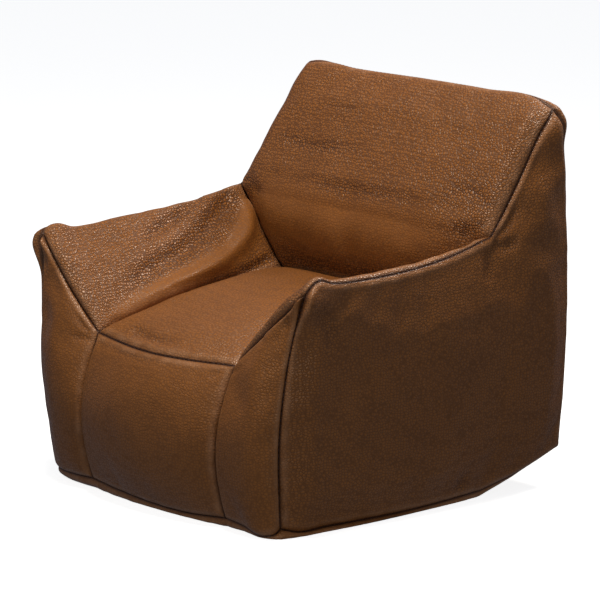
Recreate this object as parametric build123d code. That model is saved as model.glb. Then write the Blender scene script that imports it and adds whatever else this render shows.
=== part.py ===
"""Structured bean bag armchair.

A cover sewn from eleven panels, closed by a zip low on the rear panel, goes round a liner bag that has a zip of
its own and holds the polystyrene beads.

Millimetres. The sitter faces -Y, so +X is the sitter's left, and +Z is up. The origin is on the floor, under
the middle of the chair.
"""

import os
from math import hypot

from build123d import *

# Side profile of the stuffed cover, as (y, z) points.
FRONT_FOOT = (-345.0, 0.0)
FRONT_BULGE = (-386.0, 190.0)  # the front swells forward here
ARM_TIP = (-330.0, 490.0)
ARM_DIP = (-77.0, 489.0)  # the arm's top sags a little between its ends
ARM_ROOT = (176.0, 521.0)  # where the arm's top meets the backrest
BACK_TOP = (357.0, 778.0)
REAR_FOOT = (376.0, 62.0)  # the rear bottom edge stands clear of the floor
BASE_KINK = (170.0, 0.0)  # behind this the base slopes up to the rear
PROFILE_RADII = (
    (FRONT_FOOT, 16.0),
    (ARM_TIP, 18.0),
    (ARM_ROOT, 40.0),
    (BACK_TOP, 16.0),
    (REAR_FOOT, 18.0),
    (BASE_KINK, 200.0),
)

# The hollow that makes the seat, seen from the side.
SEAT_FRONT = (-381.0, 296.0)
SEAT_CROWN = (-60.0, 362.0)
SEAT_REAR = (165.0, 343.0)
BACK_UPRIGHT = (166.0, 450.0)  # the backrest stands upright to here
BACK_LEAN = (212.0, 570.0)  # and leans from here on

# Half widths of the hollow: each rail is an (x, y, z) point at the front and one at the backrest.
SEAT_RAIL = ((209.0, -343.0, 309.0), (205.0, 165.0, 343.0))
ARM_RAIL = ((370.0, -343.0, 488.0), (349.0, 165.0, 521.0))

# Half widths outside. The front splays out towards the arm tips, the rear does not.
SIDE_REACH = 450.0  # the side sections stand this far before and behind the origin
HALF_FRONT_FOOT = 334.0
FRONT_SPLAY = 0.1325  # millimetres out per millimetre up
HALF_REAR = 365.0

EDGE_RADIUS = 12.0  # rounding of the side edges

# Layers, from outside in.
COVER_THICK = 2.0  # faux leather with its backing cloth
LINER_INSET = 8.0  # the liner lies this far inside the cover's face
LINER_THICK = 1.0
FILL_INSET = 9.5

# Seams.
SEAM_DEPTH = 5.0  # how far in from the outer faces the cover is cut, on its rounded edges
BASE_SEAM = 14.0  # height of the seam round the base
FRONT_SEAM_X = 207.0  # the two upright seams in the front
FOLD_IN = 0.5  # a panel in an inside corner turns this far up its neighbour

# Zips.
COVER_ZIP_Z = 118.0
COVER_ZIP_LENGTH = 520.0
COVER_ZIP_INSET = 2.65  # the backs of the tapes, which lie inside the cover
LINER_ZIP_Z = 430.0
LINER_ZIP_LENGTH = 380.0
LINER_ZIP_INSET = 7.65  # the backs of the tapes, which lie on the liner
ZIP_SLOT = 13.0  # height of the slot that shows the coils
TAPE_WIDTH = 17.0
TAPE_THICK = 0.6
COIL_WIDTH = 3.2
COIL_THICK = 2.0
COIL_GAP = 1.8  # between the coils, for the slider's wedge
TAPE_TAIL = 12.0  # how far the tapes run past the slot's ends
STOP_LENGTH = 3.0
STOP_WIDTH = 8.0
SLIDER_LENGTH = 14.0
SLIDER_WIDTH = 10.4
SLIDER_PLATE = 1.2
SLIDER_CORNER = 2.0
SLIDER_PARK = 25.0  # from the slot's end to the slider when closed
WEDGE_LENGTH = 6.0
BOND = 0.4  # how far pieces of one casting run into each other
RUNNING = 0.1
PIN_RADIUS = 1.0
PIN_FIT = 0.06  # radial clearance of the pull on its pin
PIN_LIFT = 2.6  # from the slider's plate to the pull's pin
LUG_RADIUS = 2.2
LUG_THICK = 1.4
LUG_GAP = 4.2
NECK_WIDTH = 3.6
PULL_NECK = 6.0
PULL_LENGTH = 32.0
PULL_WIDTH = 10.0
PULL_THICK = 1.8
PULL_CORNER = 3.5
GRIP_HOLE_RADIUS = 2.2


def side_face(edges):
    """A face in the Y-Z plane from edges given as (y, z)."""
    return Plane.YZ * make_face(Curve() + edges)


def side_polygon(*points):
    return Plane.YZ * make_face(Polyline(*points, close=True))


def through(face):
    """The face pushed through the whole width of the chair."""
    return extrude(face, amount=SIDE_REACH, both=True)


def shifted(point, dy, dz):
    return (point[0] + dy, point[1] + dz)


def outline():
    face = side_face(
        [
            ThreePointArc(FRONT_FOOT, FRONT_BULGE, ARM_TIP),
            ThreePointArc(ARM_TIP, ARM_DIP, ARM_ROOT),
            Polyline(ARM_ROOT, BACK_TOP, REAR_FOOT, BASE_KINK, FRONT_FOOT),
        ]
    )
    for (y, z), radius in PROFILE_RADII:
        corner = face.vertices().sort_by_distance((0, y, z))[0]
        face = fillet(corner, radius)
    return face


def side_envelope(inset):
    """The space between the two outer sides."""
    low, high = -60.0, 840.0
    sections = []
    for reach, foot, splay in (
        (SIDE_REACH, HALF_FRONT_FOOT, FRONT_SPLAY),
        (-SIDE_REACH, HALF_REAR, 0.0),
    ):
        a = foot + splay * low - inset
        b = foot + splay * high - inset
        corners = ((-a, low), (a, low), (b, high), (-b, high))
        sections.append(Plane.XZ.offset(reach) * make_face(Polyline(*corners, close=True)))
    return loft(sections, ruled=True)


def along(rail, y):
    """The point of a rail, extended past its ends, at this y."""
    (xa, ya, za), (xb, yb, zb) = rail
    share = (y - ya) / (yb - ya)
    return (xa + share * (xb - xa), za + share * (zb - za))


def between_arms(inset):
    """The space between the arms' inner faces, reaching past the hollow at every end."""
    sections = []
    for y in (-SIDE_REACH, 260.0):
        (xa, za), (xb, zb) = along(SEAT_RAIL, y), along(ARM_RAIL, y)
        slope = (xb - xa) / (zb - za)
        out = inset * hypot(1.0, slope)
        low, high = za - 90.0, zb + 60.0
        a = xa + slope * (low - za) + out
        b = xa + slope * (high - za) + out
        corners = ((-a, low), (a, low), (b, high), (-b, high))
        sections.append(Plane.XZ.offset(-y) * make_face(Polyline(*corners, close=True)))
    return loft(sections, ruled=True)


def hollow(inset):
    """The hollow over the seat, between the arms and before the backrest."""
    lead = (-SIDE_REACH, SEAT_FRONT[1] - 25.0)
    face = side_face(
        [
            Line(lead, SEAT_FRONT),
            ThreePointArc(SEAT_FRONT, SEAT_CROWN, SEAT_REAR),
            ThreePointArc(SEAT_REAR, BACK_UPRIGHT, BACK_LEAN),
            Polyline(BACK_LEAN, (BACK_LEAN[0], 680.0), (-SIDE_REACH, 680.0), lead),
        ]
    )
    if inset:
        face = offset(face, amount=inset, kind=Kind.INTERSECTION)
    return through(face) & between_arms(inset)


def chair_body(inset):
    """The stuffed chair, shrunk by the inset on every face."""
    face = outline()
    if inset:
        face = offset(face, amount=-inset)
    body = through(face) & side_envelope(inset)
    radius = EDGE_RADIUS - inset
    if radius > 4.0:
        rim = [e for e in body.edges() if abs(e.center().X) > 250.0]
        body = fillet(rim, radius)
    return body - hollow(inset)


def base_side():
    """Everything below the seam round the base."""
    y, z = BASE_KINK
    ey, ez = REAR_FOOT
    return through(
        side_polygon(
            (-SIDE_REACH, BASE_SEAM),
            (y - 4.0, BASE_SEAM),
            (ey + 12.0, ez + 13.0),
            (ey + 60.0, -60.0),
            (-SIDE_REACH, -60.0),
        )
    )


def rear_side():
    """Everything behind the seams round the rear panel."""
    lean = (BACK_TOP[0] - REAR_FOOT[0]) / (BACK_TOP[1] - REAR_FOOT[1])
    low = (REAR_FOOT[0] - SEAM_DEPTH - 40.0 * lean, REAR_FOOT[1] - 40.0)
    high = (BACK_TOP[0] - SEAM_DEPTH + 40.0 * lean, BACK_TOP[1] + 40.0)
    return through(side_polygon(low, high, (SIDE_REACH, high[1]), (SIDE_REACH, low[1])))


def front_side():
    """Everything before the seams round the front panels."""
    points = [shifted(p, SEAM_DEPTH, 0.0) for p in (FRONT_FOOT, FRONT_BULGE, ARM_TIP)]
    (y, z), (ty, tz) = points[0], points[2]
    far = -SIDE_REACH - 60.0
    bow = ThreePointArc(*points)
    below = Polyline((ty, tz), (ty, tz + 60.0), (far, tz + 60.0), (far, z - 60.0), (y, z - 60.0), (y, z))
    return through(side_face([bow, below]))


def arm_top_side():
    """Everything above the seams along the arms' tops."""
    points = [shifted(p, 0.0, -SEAM_DEPTH) for p in (ARM_TIP, ARM_DIP, ARM_ROOT)]
    (y, z), (ry, rz) = points[0], points[2]
    above = Polyline((ry, rz), (ry, rz + 60.0), (y - 60.0, rz + 60.0), (y - 60.0, z), (y, z))
    return through(side_face([ThreePointArc(*points), above]))


def seat_side():
    """Everything below the seams between the seat, the arms and the backrest."""
    points = [shifted(p, 0.0, FOLD_IN) for p in (SEAT_FRONT, SEAT_CROWN, SEAT_REAR)]
    (y, z), (ry, rz) = points[0], points[2]
    far = -SIDE_REACH - 60.0
    lead = Line((far, z - 25.0), (y, z))
    below = Polyline((ry, rz), (ry + 30.0, rz), (ry + 30.0, 200.0), (far, 200.0), (far, z - 25.0))
    return through(side_face([lead, ThreePointArc(*points), below]))


def backrest_side():
    """Everything behind the seams between the backrest and the arms."""
    points = [shifted(p, -FOLD_IN, 0.0) for p in (SEAT_REAR, BACK_UPRIGHT, BACK_LEAN)]
    (y, z), (ly, lz) = points[0], points[2]
    behind = Polyline((ly, lz), (ly, 860.0), (SIDE_REACH, 860.0), (SIDE_REACH, z), (y, z))
    return through(side_face([ThreePointArc(*points), behind]))


def one_side(shape, x):
    """The part of the shape on the +X side of x."""
    return shape & Pos(x + 500.0, 0, 300.0) * Box(1000, 1200, 1400)


def largest(shape):
    """The panel itself, without the crumbs that a cut along a rounded edge leaves."""
    return shape.solids().sort_by(SortBy.VOLUME)[-1]


def pair(name, solid):
    """The sitter's left and right copies of a piece made on the +X side."""
    return {"left_" + name: solid, "right_" + name: mirror(solid, about=Plane.YZ)}


def cover_panels():
    """The cover cut along its seams."""
    rest = chair_body(0.0) - chair_body(COVER_THICK)
    panels = {}

    def cut_off(cutter):
        nonlocal rest
        piece = rest & cutter
        rest = rest - cutter
        return piece

    panels["base_panel"] = cut_off(base_side())
    panels["rear_panel"] = cut_off(rear_side())
    sides = one_side(rest - side_envelope(SEAM_DEPTH), 0.0)
    rest = rest & side_envelope(SEAM_DEPTH)
    front = cut_off(front_side())
    panels["seat_front_panel"] = front & Box(2 * FRONT_SEAM_X, 1200, 1400)
    panels.update(pair("arm_front_panel", one_side(front, FRONT_SEAM_X)))
    arm_top = one_side(cut_off(arm_top_side()), 0.0)
    panels.update(pair("side_panel", sides + arm_top))
    panels["backrest_panel"] = cut_off(backrest_side())
    panels["seat_panel"] = largest(cut_off(seat_side()))
    panels.update(pair("arm_inner_panel", largest(one_side(rest, 0.0))))
    return panels


def rear_plane(z, inset):
    """A plane on the rear at this height: x to the sitter's left, y up the rear, z out of it."""
    lean = (BACK_TOP[0] - REAR_FOOT[0]) / (BACK_TOP[1] - REAR_FOOT[1])
    y = REAR_FOOT[0] + lean * (z - REAR_FOOT[1])
    spot = Plane(origin=(0, y, z), x_dir=(-1, 0, 0), z_dir=(0, 1.0, -lean))
    return spot.offset(-inset)


def slab(x0, x1, y0, y1, z0, z1):
    middle = ((x0 + x1) / 2, (y0 + y1) / 2, (z0 + z1) / 2)
    return Pos(*middle) * Box(x1 - x0, y1 - y0, z1 - z0)


def crosswise(x, z, radius, length):
    """A cylinder along x, centred at this x and z."""
    return Pos(x, 0, z) * Rot(0, 90, 0) * Cylinder(radius, length)


def slider(parked, coil_front):
    """Two plates, before the coils and behind the tapes, joined by a wedge that runs between the coils."""
    a, b = parked - SLIDER_LENGTH / 2, parked + SLIDER_LENGTH / 2
    half = SLIDER_WIDTH / 2
    front, back = coil_front + RUNNING, -RUNNING
    outer = slab(a, b, -half, half, front, front + SLIDER_PLATE)
    inner = slab(a, b, -half, half, back - SLIDER_PLATE, back)
    outer = fillet(outer.edges().filter_by(Axis.Z), SLIDER_CORNER)
    inner = fillet(inner.edges().filter_by(Axis.Z), SLIDER_CORNER)
    wedge_half = COIL_GAP / 2 - RUNNING
    wedge = slab(a + 2.0, a + 2.0 + WEDGE_LENGTH, -wedge_half, wedge_half, back - BOND, front + BOND)
    return outer + inner + wedge


def zip_pieces(prefix, plane, length):
    """Tapes, coils, stops and slider of a closed zip whose tapes lie on the plane."""
    gap = COIL_GAP / 2
    ends = length / 2
    coil_front = TAPE_THICK + COIL_THICK
    coil_end = ends - STOP_LENGTH
    tape_end = ends + TAPE_TAIL
    tape = slab(-tape_end, tape_end, gap, TAPE_WIDTH, 0.0, TAPE_THICK)
    coil = slab(-coil_end, coil_end, gap, gap + COIL_WIDTH, TAPE_THICK, coil_front)
    half = STOP_WIDTH / 2
    stop = slab(coil_end, ends, -half, half, TAPE_THICK, coil_front)
    pieces = {
        "tape_upper": tape,
        "tape_lower": mirror(tape, about=Plane.XZ),
        "coil_upper": coil,
        "coil_lower": mirror(coil, about=Plane.XZ),
        "end_stops": stop + mirror(stop, about=Plane.YZ),
        "slider": slider(SLIDER_PARK - ends, coil_front),
    }
    return {prefix + name: plane * piece for name, piece in pieces.items()}


def cover_zip(plane):
    """The cover's zip, whose slider has two lugs and a pin for the pull."""
    pieces = zip_pieces("cover_zip_", plane, COVER_ZIP_LENGTH)
    parked = SLIDER_PARK - COVER_ZIP_LENGTH / 2
    plate = TAPE_THICK + COIL_THICK + RUNNING + SLIDER_PLATE
    axis = plate + PIN_LIFT
    fittings = crosswise(parked, axis, PIN_RADIUS, LUG_GAP + LUG_THICK)
    for side in (-1, 1):
        middle = parked + side * (LUG_GAP + LUG_THICK) / 2
        a, b = middle - LUG_THICK / 2, middle + LUG_THICK / 2
        fittings += slab(a, b, -LUG_RADIUS, LUG_RADIUS, plate - BOND, axis)
        fittings += crosswise(middle, axis, LUG_RADIUS, LUG_THICK)
    pieces["cover_zip_slider"] += plane * fittings
    pieces["cover_zip_pull"] = plane * pull(parked, axis)
    return pieces


def pull(x, axis):
    """The tab that hangs from the slider's pin."""
    half, thick, neck = PULL_WIDTH / 2, PULL_THICK / 2, NECK_WIDTH / 2
    tab = slab(x - half, x + half, -PULL_LENGTH, -PULL_NECK, axis - thick, axis + thick)
    tab = fillet(tab.edges().filter_by(Axis.Z), PULL_CORNER)
    stem = slab(x - neck, x + neck, -PULL_NECK - 2.0, 0.0, axis - thick, axis + thick)
    ring = crosswise(x, axis, PIN_RADIUS + 1.0, NECK_WIDTH)
    hole = crosswise(x, axis, PIN_RADIUS + PIN_FIT, PULL_WIDTH)
    grip_hole = Pos(x, PULL_NECK - PULL_LENGTH, axis) * Cylinder(GRIP_HOLE_RADIUS, PULL_WIDTH)
    return tab + stem + ring - hole - grip_hole


def slot(plane, length):
    """The slot in a panel that leaves the coils of a zip free."""
    half, depth = ZIP_SLOT / 2, 4.0
    return plane * slab(-length / 2, length / 2, -half, half, -depth, depth)


def build():
    pieces = cover_panels()
    pieces["rear_panel"] -= slot(rear_plane(COVER_ZIP_Z, 0.0), COVER_ZIP_LENGTH)
    pieces.update(cover_zip(rear_plane(COVER_ZIP_Z, COVER_ZIP_INSET)))
    liner = chair_body(LINER_INSET) - chair_body(LINER_INSET + LINER_THICK)
    liner -= slot(rear_plane(LINER_ZIP_Z, LINER_INSET), LINER_ZIP_LENGTH)
    pieces["inner_liner"] = liner
    pieces.update(zip_pieces("liner_zip_", rear_plane(LINER_ZIP_Z, LINER_ZIP_INSET), LINER_ZIP_LENGTH))
    pieces["bead_fill"] = chair_body(FILL_INSET)
    return pieces


os.makedirs("parts", exist_ok=True)
for name, piece in build().items():
    piece.label = name
    export_step(piece, "parts/" + name + ".step")
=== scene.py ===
"""Bean bag armchair: eleven leather panels blown out between their seams, with their stitching and the zips.

Metres, in the frame of the CAD model. The seams are smooth curves between a few corners, and each panel is a
patch between four borders made of seams. Neighbouring panels share those curves, so they always meet.
"""
import math

import bpy
import numpy as np
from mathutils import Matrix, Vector, noise


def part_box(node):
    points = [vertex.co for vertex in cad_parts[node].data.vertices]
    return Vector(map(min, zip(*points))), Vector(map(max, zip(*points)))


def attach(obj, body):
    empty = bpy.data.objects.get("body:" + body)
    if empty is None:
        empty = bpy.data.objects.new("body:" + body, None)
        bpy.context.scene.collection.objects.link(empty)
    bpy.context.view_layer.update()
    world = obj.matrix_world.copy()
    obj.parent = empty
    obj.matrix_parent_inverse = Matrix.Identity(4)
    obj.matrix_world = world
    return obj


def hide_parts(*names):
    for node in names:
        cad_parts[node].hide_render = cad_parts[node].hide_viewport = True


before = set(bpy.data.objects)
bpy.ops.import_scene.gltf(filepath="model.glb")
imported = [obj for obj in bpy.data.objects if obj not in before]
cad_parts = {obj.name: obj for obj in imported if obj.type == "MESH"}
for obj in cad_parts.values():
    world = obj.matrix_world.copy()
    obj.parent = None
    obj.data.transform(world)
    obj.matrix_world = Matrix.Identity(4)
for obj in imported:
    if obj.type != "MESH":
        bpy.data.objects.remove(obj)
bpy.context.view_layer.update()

MM = 0.001
SIDES = (("left", 1), ("right", -1))


# ----------------------------------------------------------
# Corners of the cover on the sitter's left (+X), placed from the boxes of the CAD panels

front_low, front_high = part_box("seat_front_panel")
arm_low, arm_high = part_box("left_arm_front_panel")
side_low, side_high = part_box("left_side_panel")
seat_low, seat_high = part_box("seat_panel")
back_low, back_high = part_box("backrest_panel")
base_low, base_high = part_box("base_panel")


def place(x, y, z, right_shift=(0, 0, 0)):
    """A corner on the left, in metres, and in millimetres how the right one differs from its mirror image."""
    return np.array((x, y, z)), np.array(right_shift) * MM


CORNERS = {
    "base_front": place(base_high.x - 27 * MM, front_low.y + 50 * MM, 17 * MM, (-8, -6, 6)),
    "front_foot": place(front_high.x - 4 * MM, front_low.y + 22 * MM, front_low.z + 3 * MM, (0, 0, 5)),
    "seat_front": place(front_high.x + 2 * MM, front_low.y + 44 * MM, front_high.z + 15 * MM),
    "seat_back": place(front_high.x + 18 * MM, seat_high.y - 4 * MM, seat_high.z + 10 * MM, (0, 0, 6)),
    "arm_tip": place(arm_high.x + 6 * MM, arm_low.y + 58 * MM, arm_high.z - 6 * MM, (-8, 0, 6)),
    "arm_root": place(back_high.x + 5 * MM, back_low.y + 16 * MM, arm_high.z + 44 * MM, (0, 0, 8)),
    "back_top": place(back_high.x - 8 * MM, back_high.y + 1 * MM, side_high.z + 20 * MM, (-5, 0, 13)),
    "rear_foot": place(base_high.x + 12 * MM, base_high.y + 1 * MM, base_high.z + 3 * MM),
    "base_kink": place(base_high.x - 4 * MM, back_low.y + 10 * MM, 12 * MM),
}


def corner(name, side):
    """The corner on one side of the chair: 1 is the left and -1 the right."""
    at, right_shift = CORNERS[name]
    if side > 0:
        return at
    return at * (-1, 1, 1) + right_shift


# ----------------------------------------------------------
# Curves


def lengths_along(points):
    """Distance along a polyline to each of its points."""
    steps = np.linalg.norm(np.diff(points, axis=0), axis=1)
    return np.concatenate([[0.0], np.cumsum(steps)])


def read_at(points, fractions):
    """Points at these fractions of the polyline's length."""
    s = lengths_along(points)
    at = np.asarray(fractions) * s[-1]
    return np.stack([np.interp(at, s, points[:, i]) for i in range(points.shape[1])], axis=1)


def hermite(a, b, slope_a, slope_b, x):
    """A cubic from a to b with these slopes, read at x from 0 to 1."""
    return (
        a * (1 + 2 * x) * (1 - x) ** 2
        + slope_a * x * (1 - x) ** 2
        + b * x ** 2 * (3 - 2 * x)
        + slope_b * x ** 2 * (x - 1)
    )


def smooth_curve(points, count=200):
    """Even samples of a smooth curve through the points."""
    p = np.array(points, float)
    t = lengths_along(p)
    slope = np.diff(p, axis=0) / np.diff(t)[:, None]
    tangent = np.empty_like(p)
    for i in range(1, len(p) - 1):
        before, after = t[i] - t[i - 1], t[i + 1] - t[i]
        tangent[i] = (slope[i - 1] * after + slope[i] * before) / (before + after)
    if len(p) == 2:
        tangent[:] = slope[0]
    else:
        tangent[0] = 1.5 * slope[0] - 0.5 * tangent[1]
        tangent[-1] = 1.5 * slope[-1] - 0.5 * tangent[-2]
    x = np.linspace(0, 1, 40)[:, None]
    runs = []
    for i in range(len(p) - 1):
        h = t[i + 1] - t[i]
        runs.append(hermite(p[i], p[i + 1], tangent[i] * h, tangent[i + 1] * h, x))
    return read_at(np.concatenate(runs), np.linspace(0, 1, count))


def mid(a, b, share, shift):
    """A point between two others, moved by millimetres."""
    return a + (b - a) * share + np.array(shift) * MM


# ----------------------------------------------------------
# Seams. A seam runs from its first corner to its last. A point between them is a share of the way and a shift
# in x, y and z, in millimetres, with x away from the middle of the chair. A right seam mirrors the left one
# unless it has a plan of its own.

SIDE_SEAMS = {
    "front_upright": ("front_foot", "seat_front", (0.5, -1, -35, 0)),
    "arm_front": ("seat_front", "arm_tip", (0.5, 0, -6, -2)),
    "side_front": ("base_front", "arm_tip", (0.45, -4, -24, 0), (0.9, -7, -5, 0)),
    "right_side_front": ("base_front", "arm_tip", (0.45, -4, -24, 0), (0.9, -1, -5, 0)),
    "foot": ("base_front", "front_foot", (0.12, 19, -17, -9), (0.28, 24, -23, -14), (0.6, 4, -12, -6)),
    "right_foot": ("base_front", "front_foot", (0.12, 4, -7, -3), (0.3, 3, -10, -4), (0.6, 0, -8, -3)),
    "base_side": ("base_front", "base_kink", (0.06, 8, 0, -9), (0.2, 9, 0, -9), (0.6, 12, 0, -8)),
    "base_rise": ("base_kink", "rear_foot", (0.5, 4, 0, -4)),
    "rear_upright": ("rear_foot", "back_top", (0.3, 13, 14, 0), (0.65, 16, 21, 0), (0.93, 10, 12, 0)),
    "arm_top": (
        "arm_tip", "arm_root",
        (0.01, 6, 4, 15), (0.05, 8, 2, 24), (0.14, 6, 0, 10), (0.35, 4, 0, -6), (0.75, 3, 0, -14),
    ),
    "right_arm_top": (
        "arm_tip", "arm_root",
        (0.01, 6, 4, 11), (0.05, 8, 2, 14), (0.14, 6, 0, -2), (0.35, 4, 0, -9), (0.75, 3, 0, -12),
    ),
    "back_side": ("arm_root", "back_top", (0.12, 0, -2, -8), (0.5, 4, -2, -3), (0.88, 3, -2, 3)),
    "right_back_side": ("arm_root", "back_top", (0.12, -2, -2, -8), (0.5, -5, -2, -3), (0.88, -5, -2, 3)),
    "arm_back": ("seat_back", "arm_root", (0.5, 6, 4, 0)),
    "seat_side": ("seat_front", "seat_back", (0.5, 3, 0, 12)),
}
CROSS_SEAMS = {  # from a corner on the right to its twin on the left
    "front_bottom": ("front_foot", (0.25, 0, -8, -6), (0.75, 0, -8, -9)),
    "seat_lip": ("seat_front", (0.5, 0, -34, -4)),
    "seat_rear": ("seat_back", (0.5, 0, -6, 4)),
    "back_crest": (
        "back_top",
        (0.06, 0, 4, 9), (0.22, 0, 0, 10), (0.5, 0, -4, 17), (0.75, 0, -3, 20), (0.94, 0, 4, 17),
    ),
    "rear_bottom": ("rear_foot", (0.5, 0, 4, -2)),
}


def build_seams():
    """Every seam as a polyline."""
    seams = {}
    for word, side in SIDES:
        for name, plan in SIDE_SEAMS.items():
            if name.startswith("right_"):
                continue
            a, b, *middles = SIDE_SEAMS.get(f"{word}_{name}", plan)
            start, end = corner(a, side), corner(b, side)
            points = [mid(start, end, share, (x * side, y, z)) for share, x, y, z in middles]
            seams[f"{word}_{name}"] = smooth_curve([start, *points, end])
    for name, (at, *middles) in CROSS_SEAMS.items():
        start, end = corner(at, -1), corner(at, 1)
        points = [mid(start, end, share, shift) for share, *shift in middles]
        seams[name] = smooth_curve([start, *points, end])
    return seams


SEAMS = build_seams()


def path_of(border):
    """A border's polyline, from its seams."""
    runs = [SEAMS[name[1:]][::-1] if name[0] == "-" else SEAMS[name] for name in border.split()]
    return np.concatenate(runs)


# ----------------------------------------------------------
# Panels, each between its low, high, start and end borders. u runs from start to end and v from low to high,
# and u x v points out of the chair. A minus sign before a seam's name runs it backwards.

PANELS = {
    "seat_panel": ("seat_lip", "seat_rear", "right_seat_side", "left_seat_side"),
    "seat_front_panel": ("front_bottom", "seat_lip", "right_front_upright", "left_front_upright"),
    "backrest_panel": (
        "seat_rear",
        "back_crest",
        "right_arm_back right_back_side",
        "left_arm_back left_back_side",
    ),
    "rear_panel": ("-rear_bottom", "-back_crest", "left_rear_upright", "right_rear_upright"),
    "base_panel": (
        "rear_bottom",
        "right_foot front_bottom -left_foot",
        "-right_base_rise -right_base_side",
        "-left_base_rise -left_base_side",
    ),
    "left_arm_front_panel": ("-left_foot", "left_arm_front", "left_front_upright", "left_side_front"),
    "right_arm_front_panel": ("right_foot", "-right_arm_front", "right_side_front", "right_front_upright"),
    "left_arm_inner_panel": ("-left_seat_side", "-left_arm_top", "left_arm_back", "left_arm_front"),
    "right_arm_inner_panel": ("right_seat_side", "right_arm_top", "right_arm_front", "right_arm_back"),
    "left_side_panel": (
        "left_base_side left_base_rise",
        "left_arm_top left_back_side",
        "left_side_front",
        "left_rear_upright",
    ),
    "right_side_panel": (
        "-right_base_rise -right_base_side",
        "-right_back_side -right_arm_top",
        "right_rear_upright",
        "right_side_front",
    ),
}
CROWN = {  # how far each panel's middle stands out, in millimetres
    "seat_panel": 26,
    "seat_front_panel": 12,
    "backrest_panel": 16,
    "rear_panel": 10,
    "base_panel": 50,
    "arm_front_panel": 9,
    "arm_inner_panel": 10,
    "side_panel": 14,
}
SIM_STEP = 12 * MM  # grid of the simulated leather
SIM_FRAMES = 20
SIM_CAP = 12 * MM  # the farthest that the simulation may move a point
SLACK = 0.012  # how much longer the leather is than the taut patch
FINE_STEP = 5.5 * MM  # grid of the finished leather
EDGE_STATIONS = np.array((0.0, 0.9, 2.0, 3.4, 5.2, 7.6, 10.8, 14.6, 19.0)) * MM  # its first rows from a seam

SEAM_DEPTH = 5.0 * MM  # how deep a seam lies in its groove
SEAM_WIDTH = 11.0 * MM  # from the seam to the top of the panel's rounded edge
SEAM_ALLOWANCE = 5.0 * MM  # how far the hem runs on inside
SEAM_CLEAR = 4 * MM  # folds and creases fade out about this far from a seam, so that seams stay shut
CORNER_REACH = 35 * MM  # how far from a corner its seams turn to agree
LIP, LIP_PLACE, LIP_WIDTH = 1.1 * MM, 13 * MM, 6 * MM  # the ridge over the hem, beside a seam
PUCKER, PUCKER_SIZE = 0.6 * MM, 26 * MM  # small creases that run away from a seam
UNEVEN, UNEVEN_SIZE, UNEVEN_CLEAR = 2.2 * MM, 110 * MM, 40 * MM  # broad lumps of the beads


def plain(name):
    """The panel's kind, without its side."""
    return name.replace("left_", "").replace("right_", "")


def coons(borders, nu, nv):
    """A grid of points between four borders."""
    u, v = np.linspace(0, 1, nu + 1), np.linspace(0, 1, nv + 1)
    low, high = read_at(path_of(borders[0]), u), read_at(path_of(borders[1]), u)
    start, end = read_at(path_of(borders[2]), v), read_at(path_of(borders[3]), v)
    uu, vv = u[:, None, None], v[None, :, None]
    ruled = (1 - vv) * low[:, None] + vv * high[:, None] + (1 - uu) * start[None] + uu * end[None]
    flat = (
        (1 - uu) * (1 - vv) * low[0]
        + uu * (1 - vv) * low[-1]
        + (1 - uu) * vv * high[0]
        + uu * vv * high[-1]
    )
    return ruled - flat


def normals(grid):
    """Unit normals of a grid of points."""
    out = np.cross(np.gradient(grid, axis=0), np.gradient(grid, axis=1))
    return out / np.maximum(np.linalg.norm(out, axis=2, keepdims=True), 1e-12)


def bulge(fractions, power):
    """0 at both ends and 1 in the middle; a low power is a full one."""
    return (4 * fractions * (1 - fractions)) ** power


def crowned(name, grid):
    """The patch blown out along its normals."""
    u = np.linspace(0, 1, grid.shape[0])[:, None]
    v = np.linspace(0, 1, grid.shape[1])[None, :]
    swell = bulge(u, 0.6) * bulge(v, 0.6)
    if name == "base_panel":  # flat on the floor inside a round rim, except where it rises at the rear
        swell = bulge(u, 0.42) * bulge(v, 0.42) * np.clip((v - 0.08) / 0.3, 0.04, 1)
    if name == "seat_panel":  # fuller towards the back
        swell = bulge(u, 0.5) * bulge(v, 0.5) * (0.75 + 0.5 * v)
    return grid + normals(grid) * (swell * CROWN[plain(name)] * MM)[:, :, None]


def shade_smooth(mesh):
    mesh.polygons.foreach_set("use_smooth", [True] * len(mesh.polygons))


def mesh_object(name, points, faces):
    """A new object in the scene, shaded smooth."""
    mesh = bpy.data.meshes.new(name)
    mesh.from_pydata(np.asarray(points).tolist(), [], [list(face) for face in faces])
    shade_smooth(mesh)
    mesh.update()
    piece = bpy.data.objects.new(name, mesh)
    bpy.context.scene.collection.objects.link(piece)
    return piece


def grid_faces(nu, nv):
    """Quads of a grid of nu by nv points, wound so that they face along the normals."""
    index = np.arange(nu * nv).reshape(nu, nv)
    corners = (index[:-1, :-1], index[1:, :-1], index[1:, 1:], index[:-1, 1:])
    return np.stack(corners, axis=-1).reshape(-1, 4)


CLOTH = {
    "quality": 6,
    "mass": 0.3,
    "tension_stiffness": 25,
    "compression_stiffness": 25,
    "shear_stiffness": 8,
    "bending_stiffness": 3,
    "air_damping": 2,
    "vertex_group_mass": "held",
    "shrink_min": -SLACK,
    "use_pressure": True,
    "uniform_pressure_force": 3,
}


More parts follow.
